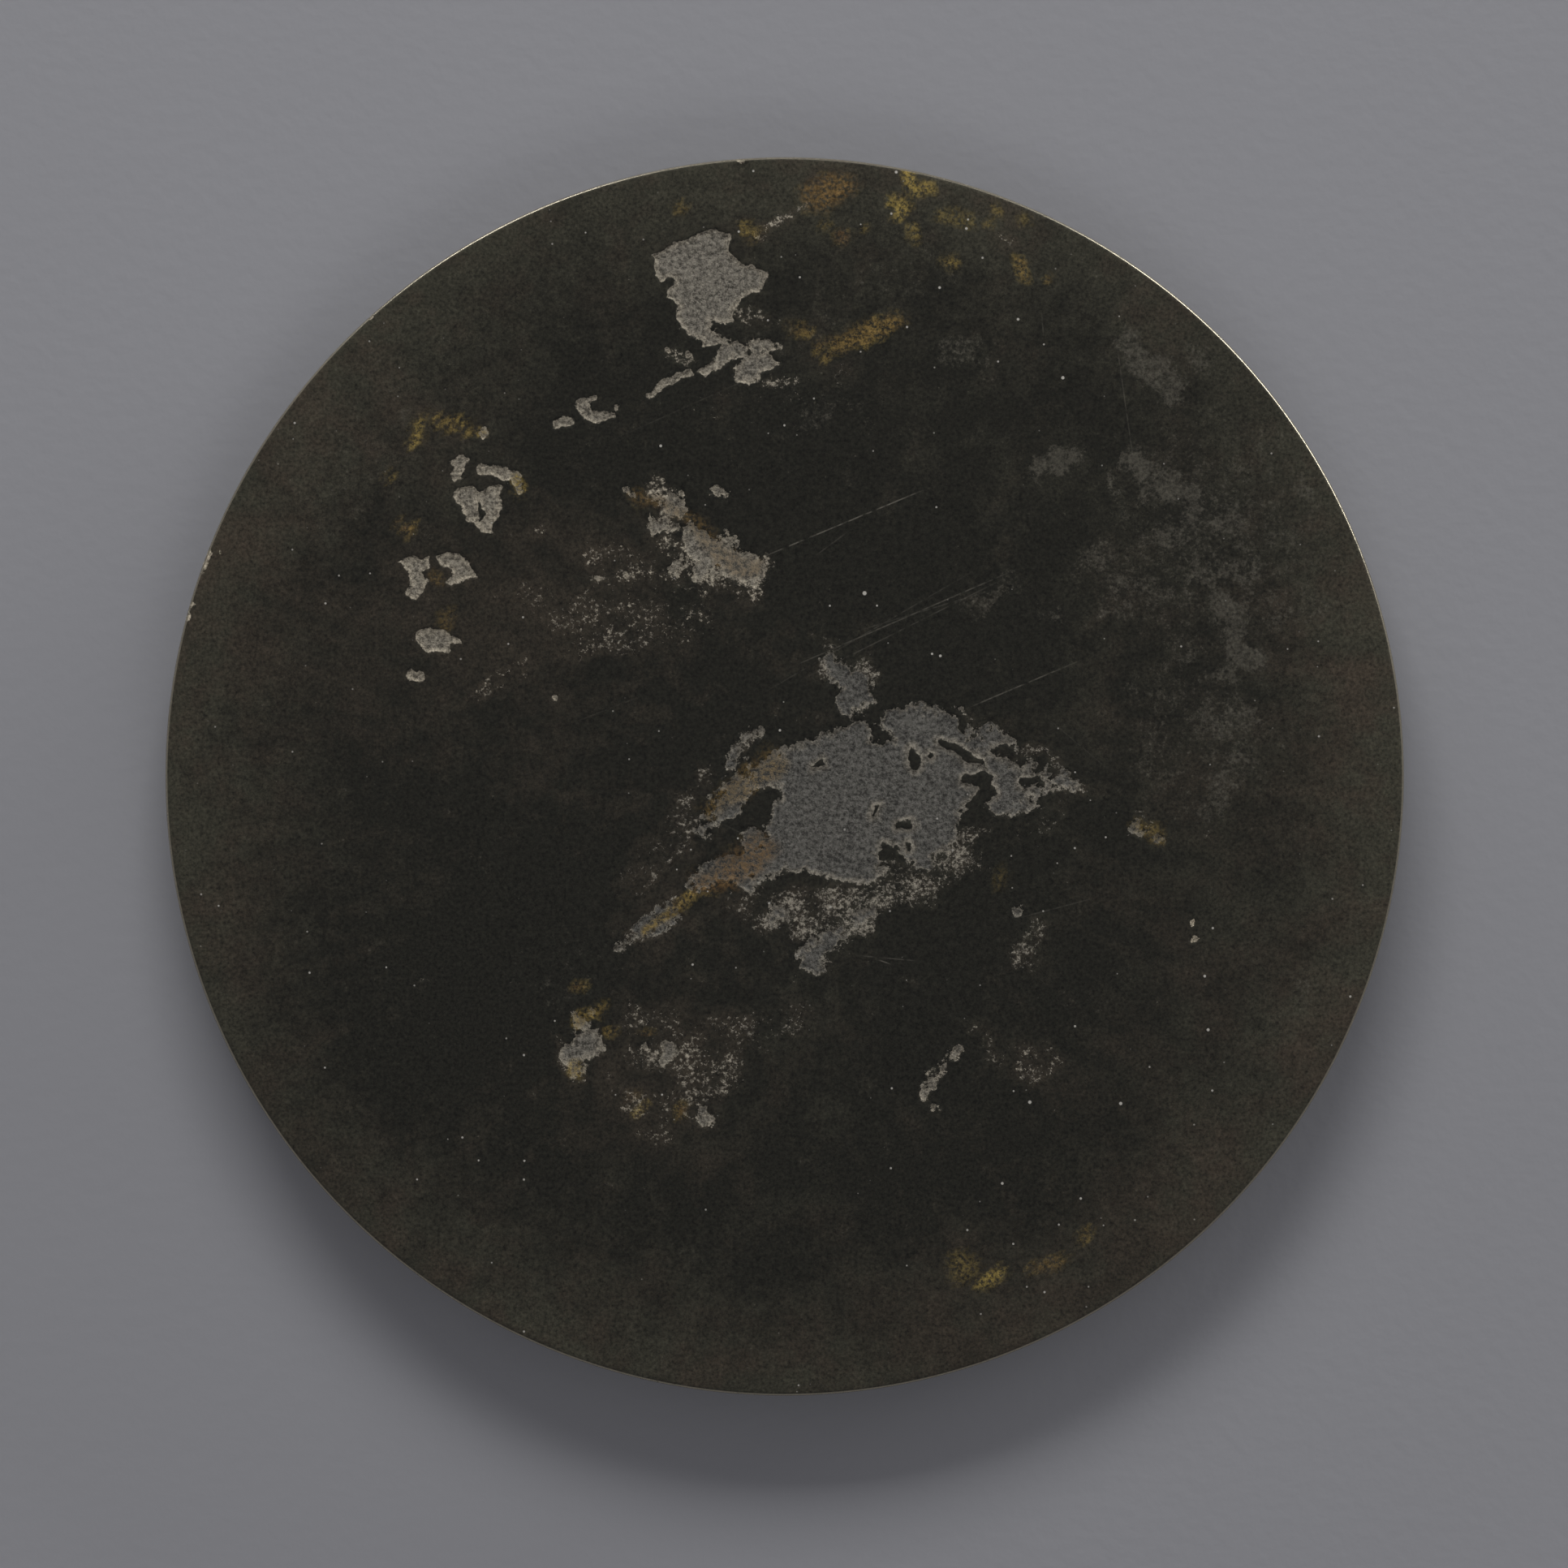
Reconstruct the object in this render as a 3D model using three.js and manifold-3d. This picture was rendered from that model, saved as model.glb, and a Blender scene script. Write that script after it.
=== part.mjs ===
// A round bronze mirror lying on its rim, face up. Units are millimetres and +Z is up.
// The origin is the disc's centre on the surface that the rim rests on, and +Z leaves the polished face.
// The whole mirror is one casting: a thin plate with a slightly domed face, a tall rim behind it,
// narrow raised rings on the back, and a domed knob pierced for a cord along X.
import * as THREE from "three";
import { mergeVertices } from "three/addons/utils/BufferGeometryUtils.js";
import Module from "manifold-3d";

// Driving dimensions
const FACE_DIAMETER = 180; // across the polished face
const RIM_HEIGHT = 10; // from the surface it lies on to the face's edge
const FACE_RISE = 0.9; // how far the middle of the face stands above its edge
const WALL_DRAFT = 1.4; // how much smaller the radius is at the back than at the face
const EDGE_ROUND = 0.6; // worn edge round the face
const RIM_WIDTH = 8; // flat back of the rim
const RIM_SLOPE = 1.6; // run of the rim's inner wall
const RIM_CHAMFER = 0.5; // worn corners of the rim's back
const PLATE_THICKNESS = 2.8;
const RINGS = [
  { radius: 54, width: 2.4, height: 0.9 }, // outer raised ring
  { radius: 26, width: 3.0, height: 1.1 }, // ring round the knob's seat
];
const KNOB_DIAMETER = 24;
const KNOB_HEIGHT = 7.4;
const HOLE_WIDTH = 6.6; // cord hole through the knob
const HOLE_HEIGHT = 5.0;
const HOLE_LIFT = 0.3; // metal left between the hole and the plate

// Fineness of the facets
const SECTORS = 120;
const FACE_STEPS = 5;
const FIELD_STEPS = 2;
const KNOB_STEPS = 7;
const ARCH_STEPS = 8;

const faceRadius = FACE_DIAMETER / 2;
const backRadius = faceRadius - WALL_DRAFT;
const rimInner = backRadius - RIM_WIDTH;
const fieldRadius = rimInner - RIM_SLOPE;
const knobRadius = KNOB_DIAMETER / 2;

// Height of the polished face: a shallow dome, its height falling with the square of the radius.
const faceHeight = (r) => RIM_HEIGHT + FACE_RISE * (1 - (r / faceRadius) ** 2);

// Height of the back's field: it follows the face at the plate's thickness.
const fieldHeight = (r) => faceHeight(r) - PLATE_THICKNESS;

// Points from the face's middle to its worn edge.
function facePoints() {
  const flat = faceRadius - EDGE_ROUND;
  const points = [];
  for (let i = 0; i <= FACE_STEPS; i++) {
    const r = (flat * i) / FACE_STEPS;
    points.push([r, faceHeight(r)]);
  }
  const corner = faceHeight(faceRadius);
  for (const turn of [Math.PI / 6, Math.PI / 3, Math.PI / 2])
    points.push([
      flat + EDGE_ROUND * Math.sin(turn),
      corner - EDGE_ROUND * (1 - Math.cos(turn)),
    ]);
  return points;
}

// Points down the outer wall, across the rim's flat back and up its inner wall.
function rimPoints() {
  return [
    [backRadius, RIM_CHAMFER],
    [backRadius - RIM_CHAMFER, 0],
    [rimInner + RIM_CHAMFER, 0],
    [rimInner, RIM_CHAMFER],
    [fieldRadius, fieldHeight(fieldRadius)],
  ];
}

// Points over one raised ring, from its outer foot to its inner foot, with bevelled shoulders.
function ringPoints({ radius, width, height }) {
  const shoulder = width / 4;
  return [width / 2, width / 2 - shoulder, shoulder - width / 2, -width / 2].map(
    (offset, i) => {
      const r = radius + offset;
      const raised = i === 1 || i === 2 ? height : 0;
      return [r, fieldHeight(r) - raised];
    },
  );
}

// Points on the bare field between two radii, ends left out, so that it keeps its dome.
function fieldPoints(outer, inner) {
  const points = [];
  for (let i = 1; i < FIELD_STEPS; i++) {
    const r = outer + ((inner - outer) * i) / FIELD_STEPS;
    points.push([r, fieldHeight(r)]);
  }
  return points;
}

// Points over the knob, a cap of a sphere, from its foot to its crown.
function knobPoints() {
  const sphere = (knobRadius ** 2 + KNOB_HEIGHT ** 2) / (2 * KNOB_HEIGHT);
  const spread = Math.asin(knobRadius / sphere);
  const crown = fieldHeight(0) - KNOB_HEIGHT;
  const points = [];
  for (let i = KNOB_STEPS; i >= 0; i--) {
    const turn = (spread * i) / KNOB_STEPS;
    points.push([sphere * Math.sin(turn), crown + sphere * (1 - Math.cos(turn))]);
  }
  return points;
}

// The outline of the back's field: rim foot, rings and knob in turn, from the outside in.
function backPoints() {
  const points = [];
  let outer = fieldRadius;
  for (const ring of RINGS) {
    points.push(...fieldPoints(outer, ring.radius + ring.width / 2));
    points.push(...ringPoints(ring));
    outer = ring.radius - ring.width / 2;
  }
  points.push(...fieldPoints(outer, knobRadius));
  points.push(...knobPoints());
  return points;
}

// The disc turned about Z from its outline, which runs from the face's middle round to the knob's crown.
function discGeometry() {
  const outline = [...facePoints(), ...rimPoints(), ...backPoints()];
  const profile = outline.reverse().map(([r, z]) => new THREE.Vector2(r, z));
  return new THREE.LatheGeometry(profile, SECTORS).rotateX(Math.PI / 2);
}

// The cord hole: an arch with its flat side to the plate, run along X right through the knob.
function holeGeometry() {
  const half = HOLE_WIDTH / 2;
  const arch = new THREE.Shape();
  arch.moveTo(-half, 0);
  arch.lineTo(half, 0);
  arch.lineTo(half, HOLE_HEIGHT - half);
  arch.absarc(0, HOLE_HEIGHT - half, half, 0, Math.PI, false);
  arch.closePath();
  const length = KNOB_DIAMETER + 4;
  const plateSide = fieldHeight(0) - HOLE_LIFT;
  return new THREE.ExtrudeGeometry(arch, {
    depth: length,
    bevelEnabled: false,
    curveSegments: ARCH_STEPS,
  })
    .translate(0, 0, -length / 2)
    .rotateZ(Math.PI)
    .rotateY(Math.PI / 2)
    .rotateX(Math.PI / 2)
    .translate(0, 0, plateSide);
}

const wasm = await Module();
wasm.setup();

// A three.js geometry as a manifold-3d solid, made from its positions alone.
function solidOf(geometry) {
  const bare = geometry.clone();
  bare.deleteAttribute("normal");
  bare.deleteAttribute("uv");
  const merged = mergeVertices(bare, 1e-4);
  return new wasm.Manifold(
    new wasm.Mesh({
      numProp: 3,
      vertProperties: new Float32Array(merged.getAttribute("position").array),
      triVerts: new Uint32Array(merged.getIndex().array),
    }),
  );
}

// A manifold-3d solid as a three.js geometry.
function geometryOf(solid) {
  const mesh = solid.getMesh();
  const geometry = new THREE.BufferGeometry();
  geometry.setAttribute("position", new THREE.BufferAttribute(mesh.vertProperties, 3));
  geometry.setIndex(new THREE.BufferAttribute(mesh.triVerts, 1));
  geometry.computeVertexNormals();
  return geometry;
}

// Bronze gone dark brown-black, with a dull sheen.
const patinatedBronze = new THREE.MeshStandardMaterial({
  color: 0x2b2925,
  roughness: 0.5,
  metalness: 0.3,
});

function makeMirror() {
  const cast = solidOf(discGeometry()).subtract(solidOf(holeGeometry()));
  const mirror = new THREE.Mesh(geometryOf(cast), patinatedBronze);
  mirror.name = "mirror";
  return mirror;
}

const group = new THREE.Group();
group.add(makeMirror());

export default group;
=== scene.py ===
"""A round bronze mirror lying face up on its rim, on a plain floor.

The mirror is one casting, so it is one closed mesh: a slightly domed face with flaked patches, a
worn round edge, a drafted outer wall, a flat rim, two raised rings and a knob pierced for a cord.
Lengths in the tables below are millimetres from the middle of the face, +Y to its top.
"""

import math
from functools import partial

import bmesh
import bpy
import mathutils
import numpy as np
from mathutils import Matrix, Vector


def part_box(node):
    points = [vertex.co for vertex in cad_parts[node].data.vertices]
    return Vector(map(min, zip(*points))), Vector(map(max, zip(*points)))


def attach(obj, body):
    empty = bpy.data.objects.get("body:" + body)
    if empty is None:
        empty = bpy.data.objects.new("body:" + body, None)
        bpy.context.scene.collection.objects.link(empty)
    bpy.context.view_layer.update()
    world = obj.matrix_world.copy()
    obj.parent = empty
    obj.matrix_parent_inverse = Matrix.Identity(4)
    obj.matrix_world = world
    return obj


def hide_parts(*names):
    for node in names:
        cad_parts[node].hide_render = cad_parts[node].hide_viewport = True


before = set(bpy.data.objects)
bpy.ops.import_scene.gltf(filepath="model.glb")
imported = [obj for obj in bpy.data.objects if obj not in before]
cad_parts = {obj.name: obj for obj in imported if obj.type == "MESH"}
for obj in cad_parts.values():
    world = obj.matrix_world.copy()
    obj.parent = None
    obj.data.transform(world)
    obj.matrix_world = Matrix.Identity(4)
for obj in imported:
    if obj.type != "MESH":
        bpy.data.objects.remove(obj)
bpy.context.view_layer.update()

bl_info = {
    "name": "Bronze mirror",
    "version": (1, 0, 0),
    "blender": (4, 5, 0),
    "location": "3D View > Sidebar > Mirror",
    "description": "Builds a patinated bronze mirror and the floor and lights it is seen on",
    "category": "Add Mesh",
}

NODE = "mirror"
PIECE = "bronze_mirror_casting"
MM = 0.001
FACE_CELLS = 144  # cells across the face, about 1.4 mm each at its middle
FLAKE_CUTS = 4  # so that cells near a flake are about 0.28 mm
FLAKE_REACH = 0.9  # mm round a flake that is cut finer
FACE_ABOVE = 9.0  # mm; the face and its round edge lie above this height
BACK_BELOW = 8.3  # mm; the back's field and knob lie below it
FLAT_RADIUS = 88.5  # mm; cells are cut finer inside this radius only
OUTER_RING = (2.4, 0.9)  # width and height of the outer raised ring, mm
INNER_RING = (3.0, 1.1)  # width and height of the inner raised ring, mm
FILLET = (0.9, 1.0, 0.25)  # run on the field, rise up the rim's inner wall and its lean, mm
RIM_CORNER = 0.5  # radius of the rim's two corners, mm
FACE_WAVE = 0.02  # slow waviness of the face, mm
BACK_WAVE = 0.05  # casting waviness of the back's field, mm
FLOOR_GRAIN = 0.035  # relief of the bare grain in a flake, mm
CRUMB_RELIEF = 0.03  # relief of broken skin, mm
HOLE_MARGIN = 1.6  # mm that the cord hole's cutter sticks out of the knob at each end
FLOOR_HALF = 3.0  # m
FLOOR_DROP = 0.02 * MM  # a hair below the rim, so that the two don't share a plane
CAMERA_OFFSET = (-0.1 * MM, -1.1 * MM)  # the camera's place off the mirror's axis, x and y

LOW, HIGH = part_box(NODE)


def linear(code):
    """Linear colour of an sRGB hex value: c/12.92 below 0.04045, else ((c + 0.055)/1.055)^2.4."""
    parts = [int(code[i : i + 2], 16) / 255 for i in (1, 3, 5)]
    return [c / 12.92 if c <= 0.04045 else ((c + 0.055) / 1.055) ** 2.4 for c in parts]


# ---- what the face has been through

# Flakes: where the patina skin has come away. Each group has its paleness (0 dark grey, 1 cream,
# and brighter above that), how far its edge crumbles in mm, then its outlines, and its strokes of
# (x, y, half width) points.
FLAKES = {
    "crown": (0.62, 0.18, [
        [(-18.9, 75.9), (-17.3, 77.5), (-14.9, 77.8), (-12.9, 78.8), (-10.2, 79.5), (-7.6, 79.1),
         (-8, 77.1), (-7.3, 75.4), (-6.3, 74.4), (-4.4, 74.6), (-2.5, 72.7), (-3.4, 70.3),
         (-5.9, 69.4), (-7.6, 67.8), (-7.4, 65.9), (-9.1, 65.9), (-10.9, 66.6), (-10.7, 65.3),
         (-9, 62.9), (-10.2, 62), (-12.2, 62.9), (-11.8, 63.9), (-13.2, 63.7), (-14.6, 64.6),
         (-15.9, 66.6), (-15.4, 68.6), (-17.1, 69.3), (-16.1, 71.2), (-16.2, 72.4), (-18.3, 72),
         (-18.9, 73)],
        [(-9, 62.9), (-7.4, 62.7), (-5.1, 63.4), (-2.7, 63.5), (-0.5, 62), (-4.4, 61),
         (-2.4, 61), (-0.8, 59.8), (-3.4, 59), (-4.1, 57.6), (-8, 57.5), (-6.9, 58.3),
         (-6.6, 60.5), (-7.6, 61.4), (-8.8, 60.2), (-11.5, 58.3), (-12.5, 59.2), (-10.5, 60.7)],
    ], [
        [(-13.5, 58.5, 0.5), (-17.2, 57.5, 0.6), (-19.8, 55.3, 0.35)],
        [(-27.8, 54.8, 0.4), (-29.7, 54.5, 0.7), (-28.6, 52.6, 0.8), (-27.2, 51.9, 0.7),
         (-24.9, 52.6, 0.5)],
        [(-33, 51.3, 0.7), (-31.2, 51.6, 0.8)],
        [(-24.2, 53.8, 0.5)],
        [(-16.9, 61.9, 0.4)],
        [(-14, 61.1, 0.5)],
    ]),
    "left": (0.85, 0.18, [
        [(-48.7, 45.9), (-47.2, 46.9), (-45.7, 45.9), (-46.9, 44.4), (-46.6, 43.3), (-47.7, 43.1),
         (-48.5, 43.9), (-48, 44.7)],
        [(-48, 40.7), (-47.2, 42), (-45.5, 42.1), (-44.6, 41.1), (-43.7, 41.3), (-42.3, 42.4),
         (-41.3, 42.4), (-41.3, 39), (-42.6, 35.3), (-43.7, 35.4), (-45.2, 37.3), (-46.2, 37.1),
         (-46.9, 39)],
        [(-55.9, 31), (-55.2, 31.7), (-51.5, 31.9), (-51.2, 30.4), (-52.6, 29.6), (-51.6, 28.4),
         (-52.5, 27), (-53.6, 25.6), (-55.5, 26.3), (-54.3, 28.4), (-54.3, 29.8)],
        [(-50.3, 31.9), (-48.9, 32.7), (-47.2, 32.4), (-44.9, 29.7), (-44.6, 28.4), (-46.9, 28.4),
         (-48.3, 27.4), (-49.2, 27.9), (-47.7, 28.9), (-48.6, 30.2), (-49.9, 30.7)],
        [(-53.6, 20), (-52.7, 21.2), (-48.9, 21.3), (-46.9, 19.3), (-48.6, 18.9), (-48.7, 17.9),
         (-50.6, 18.3), (-52.3, 17.9)],
    ], [
        [(-44, 44.7, 0.7), (-41.5, 44.1, 0.6), (-39.2, 43.9, 0.7)],
        [(-38.9, 43.3, 0.8), (-38.3, 41.9, 0.6)],
        [(-54.2, 15, 0.7), (-53, 14.7, 0.8)],
        [(-43.7, 49.9, 0.8)],
        [(-33.5, 11.3, 0.5)],
    ]),
    "middle": (0.7, 0.45, [
        [(-22.9, 41.6), (-20.9, 40.9), (-19.8, 40.2), (-20.9, 39.6), (-22.2, 39.6)],
        [(-15.7, 34.9), (-16.1, 36.1), (-13, 36.7), (-11.5, 36.6), (-10, 35.6), (-8.2, 35.4),
         (-6.7, 33.7), (-4.1, 32.6), (-3, 29.1), (-3.2, 27.6), (-5.2, 27.8), (-7.4, 28.7),
         (-9.1, 29.3), (-10.9, 30), (-11.7, 28.9), (-13, 29.6), (-13.5, 31.5), (-14.6, 33)],
    ], [
        [(-19, 36.6, 0.8), (-17, 35.8, 0.8)],
        [(-18.4, 32.8, 1)],
        [(-16.9, 30, 0.9), (-16, 29.7, 0.8)],
        [(-9.5, 41.5, 0.6), (-8.6, 41.3, 0.5)],
        [(-23, 29.6, 0.45)],
        [(-27.2, 28.9, 0.5)],
        [(-16.5, 40.2, 0.5), (-13.8, 38, 0.7)],
    ]),
    "centre": (0.25, 0.5, [
        [(-12.4, -4.8), (-10.9, -3.5), (-7.7, -1.4), (-4.6, 1.1), (-0.9, 3.8), (3.1, 5.1), (6.7, 6.3),
         (10.8, 8.1), (12.8, 7.6), (13, 5.8), (15.5, 5.6), (13.5, 7.4), (14.8, 9.6), (18, 10.6),
         (21.6, 10.6), (24.8, 9.6), (25.7, 7.6), (27.5, 6.2), (29.7, 7.4), (31.8, 5.8), (33.8, 3.8),
         (36.3, 3.1), (37.2, 1.3), (39.7, 0.6), (42.8, -1.2), (42.1, -2.1), (37.6, -1.2), (37.2, -3.4),
         (36, -5), (33.8, -4.4), (30.6, -5.7), (29.7, -4.4), (25.7, -4.6), (25.9, -6.6),
         (24.8, -9.3), (21.6, -11.6), (21.2, -13.4), (19.4, -13.6), (15.3, -10.7), (14.2, -11.1),
         (14.4, -13.4), (12.6, -15.2), (9, -15.6), (5.4, -14.5), (3.1, -13.4), (0, -13.8),
         (-2.8, -15.2), (-5.5, -16.5), (-10, -15.6), (-13.1, -17.4), (-14.9, -17.4), (-13.6, -14.7),
         (-9.5, -11.6), (-5, -9.8), (-4.6, -8.4), (-2.3, -6.6), (-1.8, -3.9), (-0.5, -2.6),
         (-0.9, -1.6), (-4.1, -2.1), (-4.8, -4.8), (-8.2, -6.8), (-12.2, -8), (-11.8, -6.2)],
        [(4.9, 16.6), (6.7, 17.3), (9, 15.5), (12.1, 16.4), (13, 14.1), (11.7, 13), (13.9, 11.4),
         (11.7, 10.3), (9, 9.4), (9, 11.7), (7.2, 15)],
        [(2, -26), (2.7, -24.2), (4.9, -22.6), (8.1, -22.4), (8.8, -24), (6.7, -25.6),
         (4.5, -27.8), (2.2, -27.8)],
    ], [
        [(-7.9, 1.1, 0.6), (-7, 3.3, 0.6), (-5, 6, 0.6), (-3.2, 6.2, 0.5)],
        [(-14.9, -17.4, 0.8), (-19.4, -21.6, 0.7), (-24, -24.9, 0.6)],
        [(-1, -19.6, 1.2), (-2, -21, 0.7)],
        [(10, -20.8, 1.2), (12.6, -19.4, 0.9)],
        [(50.6, -7.3, 1), (51.6, -8, 0.7)],
        [(54.3, -9.3, 0.6)],
        [(33.9, -19.6, 0.6)],
    ]),
    "lower_left": (0.5, 0.45, [
        [(-33.4, -39.4), (-30.4, -38.3), (-30.1, -37), (-28.2, -36.7), (-26.8, -37.2), (-26, -39),
         (-28.2, -41), (-29.2, -41.8), (-31.3, -41.8), (-32.8, -41)],
        [(-31.3, -41.6), (-28.7, -41.6), (-28.8, -43.5), (-30.8, -43.6)],
    ], [
        [(-30.4, -34.6, 0.5), (-28.9, -36.2, 0.7)],
        [(-28.2, -34.2, 0.4)],
        [(-16.9, -39.6, 1), (-17.5, -40.8, 0.8)],
        [(-11.8, -49.4, 1.1), (-11.2, -49.8, 1.1)],
        [(-20, -39.4, 0.45)],
        [(25, -39.7, 0.9), (24, -41.2, 0.3), (21.8, -43.8, 0.5), (20.2, -46.4, 0.8)],
        [(21.8, -47.8, 0.55)],
    ]),
    "edge_chips": (1.5, 0.3, [
    ], [
        [(-83.8, 32.6, 0.3), (-84.2, 31.4, 0.15), (-84.7, 30, 0.35)],
        [(-86.1, 25.3, 0.3)],
        [(-86.7, 23.8, 0.2), (-86.9, 22.8, 0.35)],
        [(-87.9, 18.9, 0.2)],
        [(-81.6, 32.2, 0.25)],
        [(-6.5, 89.7, 0.5)],
        [(-55.2, 70.8, 0.4)],
        [(-60.4, 66.7, 0.4)],
        [(54.2, -71.9, 0.4)],
        [(59.4, -21, 0.5)],
        [(59.4, -23.8, 0.4)],
    ]),
}

# Skin that still stands inside the large flake, as strokes of (x, y, half width).
ISLANDS = [
    [(18.5, 3.4, 0.7), (18.9, 2.2, 0.9)], [(21.2, 3.1, 0.5)],
    [(22.4, 5, 0.5), (24.6, 4.3, 0.8), (27, 2.9, 0.6), (28.8, 2.2, 0.5)],
    [(30.2, 3.7, 0.4), (31.8, 4, 0.8), (33.9, 2.1, 0.8)],
    [(26.2, -0.3, 0.5), (29, -0.4, 1.2), (29.6, -2.2, 1.1), (27.4, -4, 1)],
    [(12.9, -5.6, 0.3), (13.4, -4.5, 0.5)], [(16.6, -7.3, 0.4), (18.2, -7, 0.6)],
    [(14.4, -9.6, 0.5), (15.2, -10.9, 0.9)], [(18, -10.2, 0.5)], [(23.2, -11.8, 1.2)],
    [(34.6, -0.8, 0.8), (36.4, -0.2, 0.5)], [(35.8, -2.9, 0.5)], [(4, 1.4, 0.3), (5.2, 2.2, 0.35)],
    [(-44.8, 39.8, 0.12), (-43.7, 38, 0.28), (-44.2, 36.9, 0.1)], [(5.3, 84.5, 0.6)],
]

# Where a flake is tattered, as (extra crumbling in mm, x, y, radius).
TATTERED = [
    (0.9, -9, -12, 8), (0.9, -9, -3, 6), (1, -18, -21, 6), (1, 33, 2, 8), (0.6, 20, -12, 7),
    (1, 9, 14, 6), (0.8, 5, -25, 6), (0.5, -6, 61, 5), (0.9, 27, 7, 7), (0.4, 14, 3, 5),
    (0.6, -18, 39, 6), (0.7, -12, 32, 7),
]

# Crumbling: broken skin, as (density, chain of (x, y, radius)).
CRUMBLING = [
    (0.9, [(-19, 41.5, 2), (-16, 39, 2.6), (-17, 37, 2)]),
    (0.7, [(-16.5, 33.5, 2.2), (-12, 29, 2), (-5, 28, 2.6), (-2.6, 31.5, 1.6)]),
    (0.58, [(-38, 27, 2.5), (-31, 22, 5), (-22, 22.5, 6), (-13, 22.5, 4)]),
    (0.55, [(-26, 31, 4), (-20, 30, 3), (-13, 26, 3)]), (0.6, [(-44, 12, 1.6), (-38, 16, 2)]),
    (0.5, [(-40.9, 26.8, 1.6)]), (0.6, [(-35.6, 36, 1.6), (-37.2, 34.9, 0.8)]),
    (0.7, [(-46.3, 10.7, 0.8), (-42.6, 14.2, 1.2), (-40, 15.6, 1)]),
    (0.5, [(-27, 32.5, 1.8), (-24, 34, 1.4)]),
    (0.8, [(-6.9, 67.4, 1), (-3.6, 66.8, 1.3), (-0.8, 65.6, 0.9)]),
    (0.8, [(-3.4, 57.2, 0.5), (1.2, 57.3, 0.6)]),
    (0.8, [(-3.6, 78.4, 1.2), (-2.4, 80, 0.9), (1, 81.9, 0.9), (3.4, 83, 0.6)]),
    (0.7, [(-17, 61.6, 1.2), (-14.6, 60.6, 1.4)]),
    (0.7, [(4, 21.6, 1), (5.6, 20, 1.4), (8, 17.6, 1.6)]),
    (0.8, [(6.5, 15.5, 2), (12.5, 14.5, 2.2), (10.5, 10.6, 2.2)]),
    (0.8, [(-7.9, 0.6, 1), (-7, 3.4, 1.2), (-4.2, 6.2, 1.2)]),
    (0.75, [(-13.4, -6.4, 1.8), (-15.2, -10.2, 1.6), (-17.8, -13.2, 1.5), (-20.4, -16.2, 1),
            (-23.8, -17.4, 0.7)]),
    (0.8, [(-15.6, -18, 1.6), (-19.6, -21.8, 1.5), (-24, -24.8, 0.9)]),
    (0.85, [(-1.5, -17.5, 2), (4, -18.6, 3.2), (9, -18.5, 3), (15.5, -16.8, 3.2), (21, -17, 2.4)]),
    (0.85, [(-1.8, -20.6, 2), (5, -22.5, 2.6), (11.5, -21, 2.4)]),
    (0.7, [(14.5, -13.4, 2.2), (19.6, -15.4, 2.4), (25.6, -13.4, 2.2)]),
    (0.55, [(-3, -16.6, 1.6), (-7.6, -18.4, 1.4), (-3.4, -21.6, 2.2)]),
    (0.5, [(8, -26, 2), (1, -29, 1.4)]),
    (0.55, [(-11, 1, 1.6), (-14, -3.4, 1.8), (-19, -11, 2.2), (-24, -15, 1.6)]),
    (0.45, [(2, 8.5, 1.4), (-2, 9, 1.2)]), (0.5, [(40, -4.6, 2.2), (35, -8.5, 2)]),
    (0.8, [(23, -11.6, 2.6), (26.5, -9, 1.8), (30, -7.6, 1.5)]),
    (0.6, [(27, -11.5, 1.8), (31.2, -15.6, 1)]),
    (0.8, [(35, 3.6, 1.2), (38.4, 3.4, 0.8), (40.5, 0, 1.2), (43.4, -2, 0.8)]),
    (0.85, [(34.6, -24.4, 2), (35.4, -27.4, 2.4)]), (0.6, [(37.6, -23.9, 1), (36.8, -20.6, 0.9)]),
    (0.75, [(33.2, -42, 1.6), (36, -43.4, 2), (39.3, -41.2, 1.2)]), (0.6, [(29.3, -39, 1.2)]),
    (0.7, [(25, -39.7, 1.4), (22, -43.6, 1.2), (20.4, -46.6, 1.4)]),
    (0.75, [(-21.5, -41, 2.6), (-15, -41, 3.4), (-11, -44, 4.2), (-7, -42, 2.8)]),
    (0.6, [(-22, -48, 2.6), (-13, -48, 3.2)]),
    (0.55, [(-22, -35, 3), (-12, -37.5, 4), (-3, -37, 3.4), (3.5, -35, 2)]),
    (0.45, [(-18, -52, 3), (-25, -44, 3)]), (0.5, [(28, -37, 2), (31, -41, 2), (38, -39.5, 1.6)]),
    (0.6, [(-33.8, -37.2, 1), (-30, -44.4, 1.4)]), (0.5, [(50.8, -5.6, 1.4), (54.6, -9.6, 1.2)]),
    (0.5, [(31, 78, 1.2), (33, 77.2, 1.2)]), (0.35, [(-12, 53, 3), (9, 58, 3)]),
]

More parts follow.
